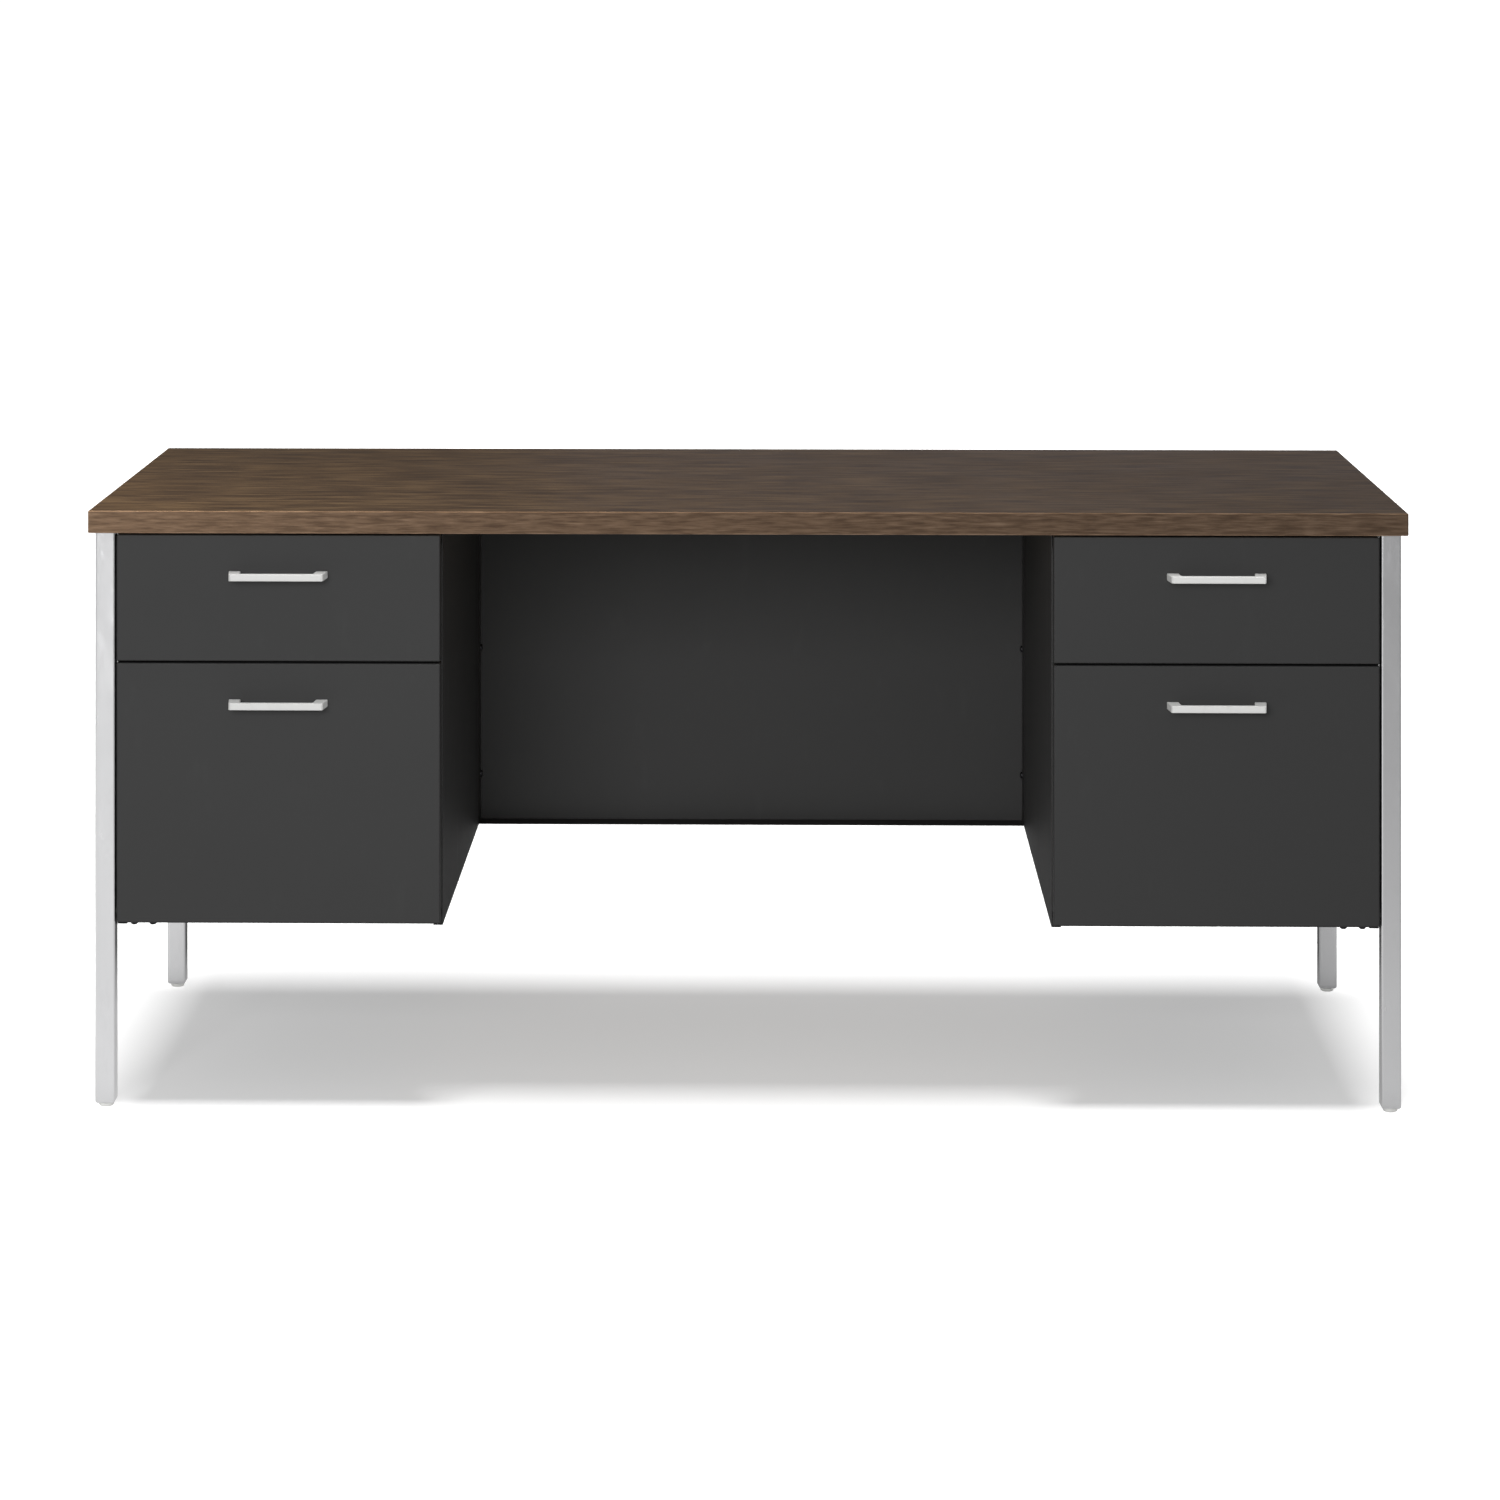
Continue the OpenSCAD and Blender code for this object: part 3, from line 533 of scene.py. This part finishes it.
def area_light(name, place, target, size, watts, only=None, shades=None, tint=(1, 1, 1)):
    """A rectangular soft light aimed at target. only limits it to some objects, and shades limits
    what casts its shadow."""
    data = bpy.data.lights.new(name, "AREA")
    data.color = tint
    data.shape = "RECTANGLE"
    data.size, data.size_y = size
    data.energy = watts
    lamp = bpy.data.objects.new(name, data)
    bpy.context.scene.collection.objects.link(lamp)
    lamp.location = place
    lamp.rotation_mode = "QUATERNION"
    lamp.rotation_quaternion = (Vector(target) - Vector(place)).to_track_quat("-Z", "Y")
    lamp.visible_camera = False
    for kind, objects in (("receiver", only), ("blocker", shades)):
        if objects:
            group = bpy.data.collections.new(f"{name}_{kind}s")
            for obj in objects:
                group.objects.link(obj)
            setattr(lamp.light_linking, kind + "_collection", group)
    return lamp


DOME_BRIGHT = (-0.40, -0.80, 0.45)
DOME_RANGE = (0.10, 0.38)


def dome():
    """A soft studio dome: brighter to the front left, white where the camera sees it."""
    world = bpy.data.worlds.new("studio")
    bpy.context.scene.world = world
    world.use_nodes = True
    tree = world.node_tree
    background = tree.nodes["Background"]
    background.inputs["Color"].default_value = (1, 1, 1, 1)
    place = tree.nodes.new("ShaderNodeTexCoord")
    towards = tree.nodes.new("ShaderNodeVectorMath")
    towards.operation = "DOT_PRODUCT"
    towards.inputs[1].default_value = DOME_BRIGHT
    tree.links.new(place.outputs["Generated"], towards.inputs[0])
    reach = tree.nodes.new("ShaderNodeMapRange")
    reach.inputs["From Min"].default_value = -1.0
    reach.inputs["To Min"].default_value = DOME_RANGE[0]
    reach.inputs["To Max"].default_value = DOME_RANGE[1]
    tree.links.new(towards.outputs["Value"], reach.inputs["Value"])
    path = tree.nodes.new("ShaderNodeLightPath")
    pick = tree.nodes.new("ShaderNodeMix")
    pick.inputs["B"].default_value = WHITE
    tree.links.new(path.outputs["Is Camera Ray"], pick.inputs["Factor"])
    tree.links.new(reach.outputs["Result"], pick.inputs["A"])
    tree.links.new(pick.outputs["Result"], background.inputs["Strength"])


def solids():
    return [obj for obj in bpy.data.objects if obj.type == "MESH"]


# Each light is its place, its target, its size and its watts.
floor = make_floor()
wood = [frame["nodes"]["desktop_laminate"], band]
dome()
area_light("desktop_light", (-1.8, -1.2, 1.6), (-0.7, -0.2, 0.75), (1.2, 1.0), 59, only=wood,
           tint=(1.0, 0.91, 0.76))
area_light("desktop_sheen", (0.55, 1.9, 1.25), (0.3, 0.3, 0.76), (1.9, 0.5), 0.8, only=wood,
           tint=(0.97, 0.97, 1.15))
area_light("desktop_rim", (-0.3, -0.5, 2.6), (-0.3, -0.4, 0.76), (3.0, 0.12), 3, only=wood)
handles = [bpy.data.objects[f"{side}_{kind}_handle_finish"] for side in SIDES for kind in KINDS]
area_light("handle_light", (-0.2, -1.6, 3.2), (0.0, -0.4, 0.5), (2.4, 0.8), 40, only=handles)
area_light("handle_fill", (3.2, -1.8, 0.9), (0.0, -0.4, 0.5), (1.0, 1.0), 30, only=handles)

# The key lights the wood through a twin that it doesn't mirror, so the top keeps its colour.
KEY = ((-0.9, -5.8, 1.9), (0.0, 0.0, 0.45), (2.4, 1.6))
others = [obj for obj in solids() if obj not in wood + [floor]]
area_light("key", *KEY, 165, only=others + [floor])
area_light("desktop_key", *KEY, 152, only=wood).visible_glossy = False

FILLS = (("back_fill", (0.6, 5.4, 2.2), 130), ("right_fill", (5.0, 1.4, 2.0), 80),
         ("left_fill", (-5.0, 1.4, 2.0), 50), ("top_fill", (0.0, -0.2, 5.0), 120))
for name, place, watts in FILLS:
    area_light(name, place, (0.0, 0.0, 0.4), (3.0, 2.0), watts, only=others)

# The floor's own light throws the shadow of the desktop and drawers only.
area_light("floor_light", (0.0, -1.2, 30.0), (0.0, 0.0, 0.0), (7.2, 11.0), 11000, only=[floor],
           shades=wood + [obj for obj in bpy.data.objects if "drawer" in obj.name])

# ---- Camera ---------------------------------------------------------------------------------

CAMERA_PLACE = (0.05281, -6.22466, 1.45842)
CAMERA_TURN = 0.01855    # radians, anticlockwise from square on
CAMERA_LENS = 110.74
CAMERA_SHIFT = (0.03166, -0.52446)
CAMERA_NEAR = 0.001      # the camera is in its place when it is nearer to it than this


def make_camera():
    """A view camera: level, with a shifted lens, so that uprights stay upright. The shift belongs
    to this one place, and a camera that is moved elsewhere looks straight ahead."""
    data = bpy.data.cameras.new("view_camera")
    data.lens = CAMERA_LENS
    camera = bpy.data.objects.new("view_camera", data)
    bpy.context.scene.collection.objects.link(camera)
    camera.location = CAMERA_PLACE
    camera.rotation_euler = (pi / 2, 0, CAMERA_TURN)
    for path, amount in zip(("shift_x", "shift_y"), CAMERA_SHIFT):
        driver = data.driver_add(path).driver
        driver.type = "SCRIPTED"
        for name, kind in zip("xyz", ("LOC_X", "LOC_Y", "LOC_Z")):
            variable = driver.variables.new()
            variable.name = name
            variable.type = "TRANSFORMS"
            variable.targets[0].id = camera
            variable.targets[0].transform_type = kind
        away = " + ".join(f"abs({n} - ({v}))" for n, v in zip("xyz", CAMERA_PLACE))
        driver.expression = f"{amount} if {away} < {CAMERA_NEAR} else 0"
    bpy.context.scene.camera = camera


make_camera()
bpy.context.scene.view_settings.view_transform = "Standard"
